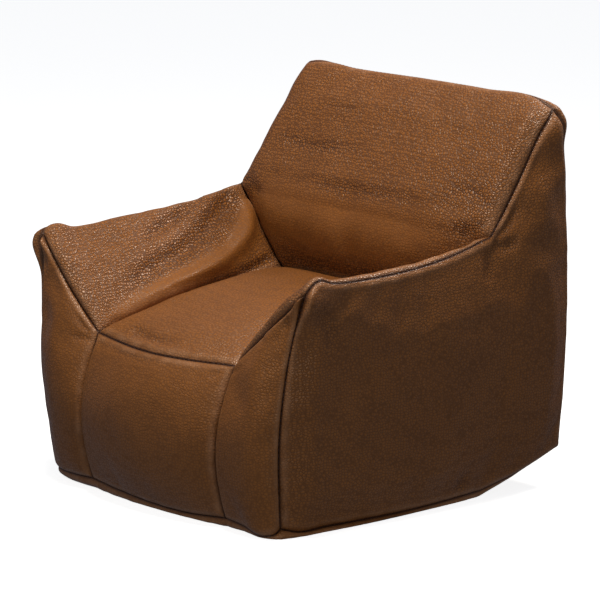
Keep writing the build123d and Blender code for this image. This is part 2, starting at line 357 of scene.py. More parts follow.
def simulated(grid):
    """The grid after a cloth simulation that holds its borders."""
    nu, nv = grid.shape[:2]
    piece = mesh_object("simulated", grid.reshape(-1, 3), grid_faces(nu, nv))
    rim = np.ones((nu, nv), bool)
    rim[1:-1, 1:-1] = False
    held = piece.vertex_groups.new(name="held")
    held.add(np.flatnonzero(rim).tolist(), 1.0, "ADD")
    cloth = piece.modifiers.new("cloth", "CLOTH")
    for setting, value in CLOTH.items():
        setattr(cloth.settings, setting, value)
    cloth.settings.effector_weights.gravity = 0
    cloth.collision_settings.use_collision = False
    cloth.point_cache.frame_end = SIM_FRAMES
    scene = bpy.context.scene
    for frame_number in range(1, SIM_FRAMES + 1):
        scene.frame_set(frame_number)
    shape = piece.evaluated_get(bpy.context.evaluated_depsgraph_get()).to_mesh()
    points = np.empty(len(shape.vertices) * 3)
    shape.vertices.foreach_get("co", points)
    bpy.data.objects.remove(piece)
    scene.frame_set(1)
    return points.reshape(nu, nv, 3)


def blown_out(name, grid):
    """The leather under the beads' pressure, held at its seams and a little too long for them."""
    if name == "base_panel":
        return grid
    move = simulated(grid) - grid
    for _ in range(2):  # evens out ripples as short as the grid's own step
        move[1:-1] = (move[:-2] + 2 * move[1:-1] + move[2:]) / 4
        move[:, 1:-1] = (move[:, :-2] + 2 * move[:, 1:-1] + move[:, 2:]) / 4
    far = np.linalg.norm(move, axis=2, keepdims=True)
    return grid + move * np.minimum(1.0, SIM_CAP / np.maximum(far, 1e-9))


def cubic_read(values, at):
    """Smoothly interpolated rows of values at these fractional row numbers."""
    n = len(values)
    i = np.clip(np.floor(at).astype(int), 0, n - 2)
    x = (at - i).reshape((-1,) + (1,) * (values.ndim - 1))
    slope = np.gradient(values, axis=0)
    return hermite(values[i], values[i + 1], slope[i], slope[i + 1], x)


def refined(grid, u, v):
    """The grid read smoothly at these fractions of its two directions."""
    rows = cubic_read(grid, u * (grid.shape[0] - 1))
    return cubic_read(rows.transpose(1, 0, 2), v * (grid.shape[1] - 1)).transpose(1, 0, 2)


def stations(length, extra=()):
    """Fractions of a length: close together at both ends, even between them."""
    inner = length - 2 * EDGE_STATIONS[-1]
    between = np.linspace(0, 1, max(2, round(inner / FINE_STEP)) + 1)[1:-1] * inner + EDGE_STATIONS[-1]
    at = np.concatenate([EDGE_STATIONS, between, length - EDGE_STATIONS[::-1], np.array(extra)])
    at = np.unique(np.round(at, 6))
    return at / at[-1]


def across(grid, axis, from_end):
    """Distance of each grid point from one border, along the grid's lines."""
    steps = np.linalg.norm(np.diff(grid, axis=axis), axis=2)
    first = np.zeros_like(np.take(steps, [0], axis=axis))
    run = np.concatenate([first, np.cumsum(steps, axis=axis)], axis=axis)
    return np.take(run, [-1], axis=axis) - run if from_end else run


def border_distances(grid):
    """Distances of each grid point from the low, high, start and end borders."""
    return across(grid, 1, False), across(grid, 1, True), across(grid, 0, False), across(grid, 0, True)


# ----------------------------------------------------------
# Which way each seam is pulled in: against the mean of its two panels' normals

SHARE = np.linspace(0, 1, 81)
inward = {name: np.zeros((len(SHARE), 3)) for name in SEAMS}


def border_parts(border):
    """Each seam of a border with the fractions of the border where it starts and ends."""
    names = border.split()
    sizes = [lengths_along(SEAMS[name.lstrip("-")])[-1] for name in names]
    ends = np.concatenate([[0.0], np.cumsum(sizes)]) / sum(sizes)
    return list(zip(names, ends[:-1], ends[1:]))


def border_rows(grid):
    """The grid's values on its low, high, start and end borders."""
    return grid[:, 0], grid[:, -1], grid[0], grid[-1]


def note_normals(borders, grid):
    """Counts this panel's normals into the direction that its seams are pulled in."""
    for border, row in zip(borders, border_rows(normals(grid))):
        for name, start, end in border_parts(border):
            share = SHARE[::-1] if name[0] == "-" else SHARE
            at = (start + (end - start) * share) * (len(row) - 1)
            inward[name.lstrip("-")] -= cubic_read(row, at)


def settle_inward():
    """Unit vectors, turned at the seams' ends so that all the seams of a corner agree there."""
    meet = {}
    for name, seam in SEAMS.items():
        vectors = inward[name]
        vectors /= np.linalg.norm(vectors, axis=1, keepdims=True)
        for end in (0, -1):
            meet.setdefault(tuple(np.round(seam[end], 4)), []).append((name, end))
    for ends in meet.values():
        mean = sum(inward[name][end] for name, end in ends)
        mean /= np.linalg.norm(mean)
        for name, end in ends:
            reach = CORNER_REACH / lengths_along(SEAMS[name])[-1]
            away = SHARE if end == 0 else 1 - SHARE
            pull = np.clip(1 - away / reach, 0, 1)[:, None]
            inward[name] = inward[name] * (1 - pull) + mean * pull


def inward_along(border, fractions):
    """The inward vectors at these fractions of a border."""
    out = np.empty((len(fractions), 3))
    for name, start, end in border_parts(border):
        here = (fractions >= start - 1e-9) & (fractions <= end + 1e-9)
        share = np.clip((fractions[here] - start) / (end - start), 0, 1)
        if name[0] == "-":
            share = 1 - share
        out[here] = cubic_read(inward[name.lstrip("-")], share * (len(SHARE) - 1))
    return out


def border_vectors(borders, u, v):
    """The inward vectors of the low, high, start and end borders, each shaped to spread over the grid."""
    low, high, start, end = (inward_along(*pair) for pair in zip(borders, (u, u, v, v)))
    return low[:, None], high[:, None], start[None], end[None]


def noise_field(points, size, seed):
    """Smooth noise from about -1 to 1 at each point, with features of this size."""
    shift = Vector((seed * 7.31, seed * 3.17, seed * 5.77))
    flat = points.reshape(-1, 3) / size
    values = [noise.noise(Vector(p) + shift) for p in flat]
    return np.array(values).reshape(points.shape[:-1]) * 1.6


def groove(distance):
    """How deep the leather lies at this distance from a seam."""
    x = np.clip(distance / SEAM_WIDTH, 0, 1)
    return SEAM_DEPTH * (1 - np.sqrt(1 - (1 - x) ** 2))


def clear_of_seams(nearest, reach=SEAM_CLEAR):
    """0 on a seam, rising to 1 away from it."""
    return 1 - np.exp(-nearest / reach)


def seamed(borders, grid, u, v):
    """The panel rolled into its seams, with lumps and puckers, and each point's distance from a seam."""
    distances = border_distances(grid)
    total, weight = np.zeros_like(grid), np.zeros(grid.shape[:2])
    for vectors, distance in zip(border_vectors(borders, u, v), distances):
        depth = groove(distance)
        total += vectors * (depth ** 2)[:, :, None]
        weight += depth
    pull = total / np.maximum(weight, 1e-9)[:, :, None]
    nearest = np.minimum.reduce(distances)
    beside = clear_of_seams(nearest) * np.exp(-nearest / PUCKER_SIZE)
    pucker = noise_field(grid, PUCKER_SIZE, 3) * PUCKER * beside
    lip = LIP * np.exp(-((nearest - LIP_PLACE) / LIP_WIDTH) ** 2)
    lump = noise_field(grid, UNEVEN_SIZE, 5) * UNEVEN * clear_of_seams(nearest, UNEVEN_CLEAR)
    return grid + pull + normals(grid) * (pucker + lip + lump)[:, :, None], nearest


def hemmed(grid, borders, u, v):
    """The grid with one more row all round, turned in along the seams."""
    out = np.pad(grid, ((1, 1), (1, 1), (0, 0)), mode="edge")
    for i, (border, fractions) in enumerate(zip(borders, (u, u, v, v))):
        vectors = inward_along(border, fractions) * SEAM_ALLOWANCE
        rim = (out[1:-1, 0], out[1:-1, -1], out[0, 1:-1], out[-1, 1:-1])[i]
        rim += vectors
    for i, j in ((0, 0), (0, -1), (-1, 0), (-1, -1)):
        out[i, j] = out[i, 1 if j == 0 else -2]
    return out


# ----------------------------------------------------------
# Local shape

FIT = 0.968  # the leather is modelled at the photo's scale, then brought to the CAD's size
FLOOR_GAP = 0.2 * MM
WARPS = []  # (centre, radius, shift): moves every panel alike, so that seams stay shut


def warp(at, offset, radius, shift):
    """Moves all the leather near a point; offset, radius and shift are in millimetres."""
    WARPS.append((at + np.array(offset) * MM, radius * MM, np.array(shift) * MM))


def warped(grid):
    """The grid after the warps, above the floor, at the CAD's size."""
    out = grid.copy()
    for centre, radius, shift in WARPS:
        near = np.exp(-(np.linalg.norm(grid - centre, axis=2) / radius) ** 2)
        out += near[:, :, None] * shift
    out[:, :, 2] = np.maximum(out[:, :, 2], FLOOR_GAP)
    return out * FIT


# Each panel's folds: width and depth in millimetres, then points in u and v. A negative depth is a roll.
FOLDS = {
    "right_arm_inner_panel": [
        (19, -17, (0.99, 0.8), (0.87, 0.42), (0.75, 0.25), (0.58, 0.15), (0.41, 0.1), (0.28, 0.08),
         (0.02, 0.03)),
        (10, 9, (0.99, 0.17), (0.85, 0.07), (0.63, 0.02), (0.4, 0.02)),
        (19, 14, (0.94, 0.9), (0.76, 0.66), (0.59, 0.46), (0.42, 0.36), (0.2, 0.25)),
        (12, 8, (0.8, 0.97), (0.62, 0.82), (0.48, 0.7), (0.38, 0.6)),
    ],
    "left_arm_inner_panel": [
        (17, -10, (0.01, 0.84), (0.14, 0.46), (0.3, 0.28), (0.5, 0.18), (0.72, 0.1), (0.97, 0.03)),
        (10, 6, (0.01, 0.18), (0.14, 0.07), (0.37, 0.02), (0.6, 0.02)),
        (17, 7, (0.06, 0.92), (0.26, 0.64), (0.5, 0.44), (0.78, 0.28)),
    ],
    "backrest_panel": [
        (6, 1.8, (0.22, 0.8), (0.3, 0.785), (0.38, 0.79)),
        (7, 1.2, (0.26, 0.74), (0.35, 0.73)),
        (13, 3, (0.1, 0.63), (0.24, 0.615), (0.46, 0.64)),
        (16, 2.2, (0.3, 0.47), (0.52, 0.455), (0.74, 0.48)),
        (12, 3, (0.98, 0.52), (0.9, 0.55), (0.8, 0.5)),
        (14, 4, (0.98, 0.44), (0.86, 0.4)),
        (12, 3.5, (0.02, 0.44), (0.14, 0.4)),
        (48, -9, (0.02, 0.34), (0.25, 0.31), (0.75, 0.31), (0.98, 0.34)),
        (26, 7, (0.02, 0.06), (0.3, 0.05), (0.7, 0.05), (0.98, 0.06)),
    ],
    "left_side_panel": [
        (8, 3.5, (0.645, 0.985), (0.7, 0.955), (0.78, 0.945)),
        (11, 5, (0.64, 0.965), (0.69, 0.9), (0.75, 0.86)),
        (14, 4, (0.625, 0.96), (0.62, 0.89), (0.6, 0.83)),
        (16, 4, (0.03, 0.94), (0.1, 0.84), (0.13, 0.7)),
        (16, 4, (0.6, 0.02), (0.62, 0.12)),
    ],
    "right_side_panel": [
        (9, 4, (0.355, 0.985), (0.3, 0.95), (0.22, 0.94)),
        (12, 5, (0.36, 0.965), (0.31, 0.9), (0.25, 0.86)),
        (16, 4, (0.97, 0.94), (0.9, 0.84), (0.87, 0.7)),
        (16, 4, (0.4, 0.02), (0.38, 0.12)),
    ],
    "right_arm_front_panel": [
        (6, 3, (0.99, 0.965), (0.84, 0.93), (0.68, 0.93)),
        (7, 3.5, (0.99, 0.93), (0.85, 0.87), (0.72, 0.8)),
        (9, 3, (0.02, 0.97), (0.1, 0.88)),
    ],
    "left_arm_front_panel": [
        (7, 3, (0.01, 0.95), (0.15, 0.9), (0.3, 0.88)),
        (7, 3.5, (0.45, 0.99), (0.52, 0.94), (0.6, 0.9)),
        (8, 4, (0.8, 0.97), (0.86, 0.88)),
    ],
    "seat_panel": [
        (12, 4.5, (0.22, 0.07), (0.42, 0.055), (0.62, 0.06)),
    ],
    "seat_front_panel": [
        (9, 3, (0.05, 0.955), (0.35, 0.945), (0.75, 0.955)),
        (7, 2.5, (0.02, 0.98), (0.12, 0.9)),
        (7, 2.5, (0.98, 0.98), (0.88, 0.9)),
    ],
    "rear_panel": [
        (14, 4, (0.02, 0.98), (0.12, 0.88)),
        (14, 4, (0.98, 0.98), (0.88, 0.88)),
        (30, 3, (0.3, 0.62), (0.5, 0.58), (0.72, 0.63)),
    ],
}
PLUMP = {  # how far a panel rises from its seams in a rounded shoulder, in millimetres
    "backrest_panel": 8,
    "arm_inner_panel": 6,
    "seat_panel": 4,
    "seat_front_panel": 3,
    "arm_front_panel": 3,
}
SHOULDER = 18 * MM  # how far from a seam a panel has most of that height
FOLD_START, FOLD_END = 0.18, 0.35  # shares of a fold's length in which it deepens and runs out
BUMPS = {name: [] for name in PANELS}  # as WARPS, but each moves one panel, clear of its seams


def bump(panel, at, offset, radius, shift):
    """Moves one panel near a point; offset, radius and shift are in millimetres."""
    BUMPS[panel].append((at + np.array(offset) * MM, radius * MM, np.array(shift) * MM))


def along_seam(name, first, last, count):
    """Evenly spread points of a seam between two shares of its length."""
    return [read_at(SEAMS[name], [share])[0] for share in np.linspace(first, last, count)]


def add_bumps(word, side):
    """Rolls over the seams of this side, and the full arm tip and upper back corner."""
    inner, outer = word + "_arm_inner_panel", word + "_side_panel"
    for at in along_seam(word + "_arm_top", 0.05, 0.95, 15):
        bump(inner, at, (-16 * side, 0, -4), 30, (0, 0, 5))
    for at in along_seam(word + "_arm_front", 0.12, 0.88, 10):
        bump(inner, at, (-14 * side, 12, 8), 24, (-1.5 * side, -4, 2.4))
    for at in along_seam(word + "_back_side", 0.1, 0.9, 12):
        bump("backrest_panel", at, (-26 * side, -6, 0), 26, (0.5 + side, -3 - 1.5 * side, 1.5))
    tip, top = corner("arm_tip", side), corner("back_top", side)
    bump(outer, tip, (0, 8, -20), 38, (26 * side, -8, 0))
    bump(word + "_arm_front_panel", tip, (-4 * side, -2, -18), 20, (0, -10, 4))
    bump("rear_panel", top, (-22 * side, 0, -26), 40, (8 * side, 20, 10))
    bump(outer, top, (0, -14, -50), 30, (7 * side, 0, 0))
    warp(top, (4 * side, 8, -34), 30, (6 * side, 9, 2))


def on_grid(grid, u, v, at):
    """The point of the grid at a fraction of its length each way."""
    i = np.interp(at[0], u, np.linspace(0, 1, len(u)))
    j = np.interp(at[1], v, np.linspace(0, 1, len(v)))
    return refined(grid, np.array([i]), np.array([j]))[0, 0]


def fold_depths(grid, points, width):
    """How far each grid point lies in a fold, from 0 to 1."""
    path = smooth_curve(points, 48)
    gap = np.linalg.norm(grid[:, :, None] - path, axis=3)
    along = gap.argmin(axis=2) / (len(path) - 1)
    taper = np.clip(along / FOLD_START, 0, 1) ** 0.5 * np.clip((1 - along) / FOLD_END, 0, 1)
    return np.exp(-((gap.min(axis=2) / width) ** 2)) * taper


def fold_in(name, grid, nearest, u, v):
    """The panel with its shoulders, folds and bumps, and how deep each point lies in the folds."""
    facing, hollow = normals(grid), np.zeros(grid.shape[:2])
    shoulder = 1 - np.exp(-((nearest / SHOULDER) ** 2))
    clear = clear_of_seams(nearest)
    out = grid + facing * (PLUMP.get(plain(name), 0) * MM * shoulder)[:, :, None]
    for width, depth, *points in FOLDS.get(name, ()):
        marks = np.array([on_grid(grid, u, v, at) for at in points])
        depths = depth * MM * fold_depths(grid, marks, width * MM) * clear
        out -= facing * depths[:, :, None]
        hollow += depths
    for centre, radius, shift in BUMPS[name]:
        near = np.exp(-((np.linalg.norm(grid - centre, axis=2) / radius) ** 2))
        out += (near * clear)[:, :, None] * shift
    return out, hollow


for word, side in SIDES:
    add_bumps(word, side)


# ----------------------------------------------------------
# The rear panel along the cover's zip

ZIP_Z = (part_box("cover_zip_coil_upper")[0].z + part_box("cover_zip_coil_lower")[1].z) / 2
ZIP_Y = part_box("cover_zip_tape_upper")[1].y + 2.3 * MM  # the leather's face beside the zip
ZIP_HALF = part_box("cover_zip_end_stops")[1].x
ZIP_LEAN = -0.0265  # how the rear leans forward, in y for each metre up
SLOT_HALF = 6.5 * MM
SLOT_TURN_IN = 2.0 * MM
BED_HALF = 11 * MM  # flat this far above and below the zip's line
BED_ABOVE, BED_BELOW = 90 * MM, 34 * MM  # and back to the panel's own shape this far from it
BED_REACH, BED_EASE = 340 * MM, 70 * MM  # where the bed ends sideways, and over what length it does
BED_CLEAR, BED_RISE = 2 * MM, 14 * MM  # the same for the panel's own seams


def smooth_step(x):
    """0 up to 0 and 1 from 1, with a soft rise between."""
    x = np.clip(x, 0, 1)
    return x * x * (3 - 2 * x)


def zip_place():
    """How far up the rear panel its zip lies, and the panel's length, in the middle."""
    middle = warped(coarse["rear_panel"])[len(coarse["rear_panel"]) // 2]
    along = lengths_along(middle)
    return np.interp(ZIP_Z, middle[:, 2], along / along[-1]), along[-1]


def zip_bed(grid, nearest, v):
    """The rear panel lies flat along the zip, with its grid lines straight there."""
    share, length = zip_place()
    height = ZIP_Z + (v - share) * length
    reach = np.where(v > share, BED_ABOVE, BED_BELOW)
    flat_v = smooth_step((reach - np.abs(height - ZIP_Z)) / (reach - BED_HALF))
    flat_u = smooth_step((BED_REACH - np.abs(grid[:, :, 0])) / BED_EASE)
    flat = flat_u * flat_v * smooth_step((nearest - BED_CLEAR) / BED_RISE)
    out = grid.copy()
    out[:, :, 2] += flat * (height - grid[:, :, 2])
    out[:, :, 1] += flat * (ZIP_Y + ZIP_LEAN * (out[:, :, 2] - ZIP_Z) - grid[:, :, 1])
    return out


def slot_stations():
    """The slot's two edges, as shares of the rear panel's length."""
    share, length = zip_place()
    return [share - SLOT_HALF / length, share + SLOT_HALF / length]


def cut_slot(grid, faces, v):
    """The panel's faces without those over the zip, and with the leather turned in along the slot."""
    low, high = [int(np.argmin(np.abs(v - at))) for at in slot_stations()]
    columns = np.flatnonzero(np.abs(grid[:, (low + high) // 2, 0]) < ZIP_HALF)
    first, last = int(columns[0]), int(columns[-1])
    nv = grid.shape[1]
    column, row = faces[:, 0] // nv, faces[:, 0] % nv
    kept = faces[~((column >= first) & (column < last) & (row >= low) & (row < high))]
    around = [i * nv + low for i in range(first, last + 1)]
    around += [last * nv + j for j in range(low + 1, high)]
    around += [i * nv + high for i in range(last, first - 1, -1)]
    around += [first * nv + j for j in range(high - 1, low, -1)]
    points = grid.reshape(-1, 3)
    turned = points[around] - np.array((0, SLOT_TURN_IN, 0))
    new = len(points) + np.arange(len(around))
    old = np.array(around)
    turned_in = np.stack([old, np.roll(old, -1), np.roll(new, -1), new], axis=1)
    return np.concatenate([points, turned]), np.concatenate([kept, turned_in])


# ----------------------------------------------------------
# Materials


class Nodes:
    """Short names for building the node tree of a material or the world."""

    def __init__(self, owner, shader):
        self.owner = owner
        owner.use_nodes = True
        self.tree = owner.node_tree
        self.shader = self.tree.nodes[shader]

    def add(self, kind, settings=None, **inputs):
        """A new node with these settings, and its inputs given by name."""
        made = self.tree.nodes.new("ShaderNode" + kind)
        for key, value in (settings or {}).items():
            setattr(made, key, value)
        for key, value in inputs.items():
            self.put(made, key.replace("_", " "), value)
        return made

    def texture(self, kind, output, vector=None, settings=None, **inputs):
        """An output of a texture that lies over the object's coordinates, or over these."""
        if vector is None:
            vector = self.add("TexCoord").outputs["Object"]
        return self.add("Tex" + kind, settings, Vector=vector, **inputs).outputs[output]

    def put(self, made, key, value):
        socket = made.inputs[int(key)] if key.isdigit() else made.inputs[key]
        if isinstance(value, bpy.types.NodeSocket):
            self.tree.links.new(value, socket)
        else:
            socket.default_value = value

    def math(self, operation, a, b=0.0, c=0.0):
        made = self.add("Math", {"operation": operation})
        for i, value in enumerate((a, b, c)):
            self.put(made, str(i), value)
        return made.outputs[0]

    def ramp(self, value, *stops):
        made = self.add("ValToRGB", Fac=value)
        marks = made.color_ramp.elements
        while len(marks) < len(stops):
            marks.new(0.5)
        for mark, (place_at, colour) in zip(marks, stops):
            mark.position = place_at
            mark.color = (*colour, 1) if len(colour) == 3 else colour
        return made.outputs["Color"]

    def grey(self, value, *stops):
        return self.ramp(value, *((at, (g, g, g)) for at, g in stops))

    def mix(self, share, a, b, how="MIX"):
        made = self.add("Mix", {"data_type": "RGBA", "blend_type": how})
        for key, given in (("Factor", share), ("A", a), ("B", b)):
            socket = [s for s in made.inputs if s.name == key and s.enabled][0]
            if isinstance(given, bpy.types.NodeSocket):
                self.tree.links.new(given, socket)
            else:
                socket.default_value = given
        return [s for s in made.outputs if s.enabled][0]

    def finish(self, colour, roughness, height, strength, distance):
        """Gives the shader its colour, roughness and bump, and returns the material."""
        self.put(self.shader, "Base Color", colour)
        self.put(self.shader, "Roughness", roughness)
        bump = self.add("Bump", Strength=strength, Distance=distance, Height=height)
        self.put(self.shader, "Normal", bump.outputs["Normal"])
        return self.owner


def material_nodes(name):
    return Nodes(bpy.data.materials.new(name), "Principled BSDF")


GRAINS_PER_METRE = 152.0
BROWN_DARK, BROWN_LIGHT = (0.270, 0.090, 0.0150), (0.318, 0.108, 0.0195)
# painted shade in the grain's creases, partly their own darker colour
CREASE_SHADE_BROWN = (0.060, 0.018, 0.005, 1)
# partly wear, partly a painted highlight along the seams' rolled rims
WORN_RIM_HIGHLIGHT_BROWN = (0.42, 0.19, 0.08, 1)
# painted shade in the seams' grooves
SEAM_SHADE_BROWN = (0.055, 0.018, 0.007, 1)


def bent_place(n):
    """The object's coordinates, bent a little so that the grain doesn't line up."""
    bent = n.add("VectorMath", {"operation": "MULTIPLY_ADD"})
    n.put(bent, "0", n.texture("Noise", "Color", Scale=60.0, Detail=1.0))
    n.put(bent, "1", (0.005, 0.005, 0.005))
    n.put(bent, "2", n.add("TexCoord").outputs["Object"])
    return n.add("Mapping", Vector=bent.outputs[0], Scale=(1.0, 1.0, 1.2)).outputs[0]


def leather():
    """Pebbled faux leather: rounded grains between creases darkened partly with painted shade. The panels say
    by their attributes how strong the grain is, where a rim is lighter, partly from wear and partly as a
    painted highlight, and where a seam's groove has painted shade.
    """
    n = material_nodes("faux_leather")
    cells = {"vector": bent_place(n), "Scale": GRAINS_PER_METRE, "Randomness": 0.72}
    to_edge = n.texture("Voronoi", "Distance", settings={"feature": "DISTANCE_TO_EDGE"}, **cells)
    to_centre = n.texture("Voronoi", "Distance", **cells)
    broad = n.texture("Noise", "Fac", Scale=7.0, Detail=4.0, Roughness=0.6)
    patchy = n.texture("Noise", "Fac", Scale=38.0, Detail=3.0)
    # rim marks a lighter band, partly wear and partly a painted highlight; groove marks painted shade
    grain, rim, groove_shade = (
        n.add("Attribute", {"attribute_name": name}).outputs["Fac"] for name in ("grain", "rim", "groove")
    )
    edge = n.grey(to_edge, (0.0, 0.0), (0.08, 0.45), (0.17, 0.8), (0.30, 1.0))
    rounded = n.math("MULTIPLY_ADD", n.math("MULTIPLY", to_centre, to_centre), -0.6, 1.0)
    strength = n.math("MULTIPLY", n.grey(patchy, (0.38, 0.7), (0.62, 1.0)), grain)
    height = n.math("MULTIPLY", n.math("MULTIPLY", edge, rounded), strength)
    colour = n.ramp(broad, (0.3, BROWN_DARK), (0.7, BROWN_LIGHT))
    colour = n.mix(1.0, colour, n.math("MULTIPLY_ADD", to_centre, -0.22, 1.08), "MULTIPLY")
    # painted shade: the creases between the grains are darkened, partly their own colour, more where the
    # grain is strong, as in the folds' hollows
    crease_shade = n.math("MULTIPLY", n.grey(to_edge, (0.04, 1.0), (0.24, 0.0)), n.math("MULTIPLY", grain, 0.85))
    colour = n.mix(crease_shade, colour, CREASE_SHADE_BROWN)
    # partly wear, partly a painted highlight: a lighter band along each seam's rolled rim
    worn_rim_highlight = n.math("MULTIPLY", rim, n.grey(patchy, (0.35, 0.18), (0.7, 0.7)))
    colour = n.mix(worn_rim_highlight, colour, WORN_RIM_HIGHLIGHT_BROWN)
    # painted shade: the leather darkened in each seam's groove
    colour = n.mix(n.math("MULTIPLY", groove_shade, 0.88), colour, SEAM_SHADE_BROWN)
    roughness = n.math("MULTIPLY_ADD", patchy, -0.10, n.grey(edge, (0.0, 0.72), (0.8, 0.36)))
    n.shader.inputs["Specular IOR Level"].default_value = 0.42
    n.shader.inputs["Specular Tint"].default_value = (1.0, 0.90, 0.74, 1.0)
    return n.finish(colour, roughness, height, strength=1.0, distance=0.0015)


def zip_tape():
    """Herringbone polyester tape."""
    n = material_nodes("zip_tape")
    warp_threads = n.texture("Wave", "Fac", settings={"bands_direction": "X"}, Scale=520.0, Distortion=0.4)
    weft_threads = n.texture("Wave", "Fac", settings={"bands_direction": "Z"}, Scale=420.0, Distortion=0.4)
    weave = n.math("MULTIPLY", warp_threads, weft_threads)
    colour = n.ramp(weave, (0.0, (0.035, 0.013, 0.006)), (1.0, (0.125, 0.050, 0.022)))
    n.shader.inputs["Sheen Weight"].default_value = 0.3
    return n.finish(colour, 0.85, weave, strength=0.7, distance=0.0003)


def spun(name, dark, light, roughness):
    """Twisted or drawn polymer thread."""
    n = material_nodes(name)
    strands = n.texture("Noise", "Fac", Scale=900.0, Detail=2.0)
    colour = n.ramp(strands, (0.35, dark), (0.65, light))
    return n.finish(colour, roughness, strands, strength=0.4, distance=0.0002)


def brass():
    """Antiqued brass, dark in patches and rubbed bright elsewhere."""
    n = material_nodes("antique_brass")
    cloud = n.texture("Noise", "Fac", Scale=260.0, Detail=5.0, Roughness=0.65)
    brushed = n.add("Mapping", Vector=n.add("TexCoord").outputs["Object"], Scale=(1.0, 1.0, 9.0))
    scratches = n.texture("Noise", "Fac", brushed.outputs[0], Scale=600.0)
    colour = n.ramp(cloud, (0.35, (0.10, 0.055, 0.022)), (0.7, (0.46, 0.30, 0.13)))
    n.shader.inputs["Metallic"].default_value = 1.0
    roughness = n.grey(cloud, (0.3, 0.55), (0.7, 0.28))
    return n.finish(colour, roughness, scratches, strength=0.25, distance=0.0002)


def liner_cloth():
    """White non-woven cloth with its pattern of pressed points."""
    n = material_nodes("liner_cloth")
    fibres = n.texture("Noise", "Fac", Scale=700.0, Detail=4.0)
    pressed = n.texture("Voronoi", "Distance", Scale=420.0, Randomness=0.15)
    pressed = n.grey(pressed, (0.1, 0.0), (0.35, 1.0))
    colour = n.ramp(fibres, (0.3, (0.62, 0.60, 0.56)), (0.7, (0.80, 0.79, 0.76)))
    height = n.math("MULTIPLY_ADD", fibres, 0.4, pressed)
    return n.finish(colour, 0.9, height, strength=0.6, distance=0.0003)


def eps_beads():
    """A heap of expanded polystyrene beads about 4 mm across."""
    n = material_nodes("eps_beads")
    # painted shade: the gaps between the beads are a darker grey than the beads' tops
    bead_tops_and_gap_shade = n.grey(n.texture("Voronoi", "Distance", Scale=240.0), (0.25, 1.0), (0.75, 0.0))
    colour = n.ramp(bead_tops_and_gap_shade, (0.0, (0.45, 0.45, 0.44)), (0.6, (0.87, 0.87, 0.86)))
    n.shader.inputs["Subsurface Weight"].default_value = 0.1
    return n.finish(colour, 0.55, bead_tops_and_gap_shade, strength=1.0, distance=0.0018)


LEATHER = leather()
THREAD_NYLON = spun("thread", (0.030, 0.009, 0.005), (0.070, 0.020, 0.010), 0.6)
COIL_NYLON = spun("zip_coil", (0.050, 0.020, 0.010), (0.085, 0.034, 0.016), 0.35)
ZIP_TAPE, BRASS, LINER_CLOTH, EPS_BEADS = zip_tape(), brass(), liner_cloth(), eps_beads()
ZIPS = ("cover_zip", "liner_zip")
CARRIED = {"cover_zip_pull": BRASS}  # the CAD's own pieces that stay in sight
for zip_name in ZIPS:
    for end in ("_tape_upper", "_tape_lower"):
        CARRIED[zip_name + end] = ZIP_TAPE
    for end in ("_end_stops", "_slider"):
        CARRIED[zip_name + end] = BRASS


def give(piece, material):
    piece.data.materials.clear()
    piece.data.materials.append(material)


def paint(mesh, name, values):
    """Writes a number for each point of the mesh, for its material to read."""
    layer = mesh.attributes.new(name, "FLOAT", "POINT")
    layer.data.foreach_set("value", np.asarray(values, np.float32).reshape(-1))


# ----------------------------------------------------------
# The panels

TAUT_GRAIN = 0.42  # how strongly the grain stands out on the panels not named here
GRAIN = {
    "backrest_panel": 0.9,
    "arm_inner_panel": 0.88,
    "side_panel": 0.6,
    "rear_panel": 0.6,
    "seat_panel": 0.6,
}
# the grain's strength also sets how much painted shade its creases get
LEVEL_GRAIN, ROLLED_GRAIN, HOLLOW_GRAIN = 0.85, -0.5, 0.3  # stretched smooth on a roll, crushed in a hollow
CRUSHED_DEPTH = 9 * MM
RIM_HIGHLIGHT_PLACE, RIM_HIGHLIGHT_WIDTH = 9 * MM, 7 * MM  # the lighter rim's distance from the seam, and its width; the rim is partly wear, partly a painted highlight
GROOVE_SHADE_EDGE, GROOVE_SHADE_FADE = 4.08 * MM, 2.4 * MM  # where the painted shade along a seam ends, and the length it fades over


def panel_size(borders):
    """The panel's mean length from start to end, and from low to high."""
    low, high, start, end = (lengths_along(path_of(border))[-1] for border in borders)
    return (low + high) / 2, (start + end) / 2


def paint_wear(mesh, nearest, hollow, grain):
    """Paints the rims, lighter partly from wear and partly as a painted highlight, the painted shade in the
    seams' grooves and the grain's strength; added points count as on a seam.
    """
    spare = np.zeros(len(mesh.vertices) - nearest.size)
    gap = np.concatenate([nearest.reshape(-1), spare])
    depth = np.concatenate([hollow.reshape(-1), spare])
    crushed = LEVEL_GRAIN + np.clip(depth / CRUSHED_DEPTH, ROLLED_GRAIN, HOLLOW_GRAIN)
    # the rim is partly wear and partly a painted highlight; the groove is painted shade
    paint(mesh, "rim", np.exp(-((gap - RIM_HIGHLIGHT_PLACE) / RIM_HIGHLIGHT_WIDTH) ** 2))
    paint(mesh, "groove", np.clip((GROOVE_SHADE_EDGE - gap) / GROOVE_SHADE_FADE, 0, 1))
    paint(mesh, "grain", grain * crushed)


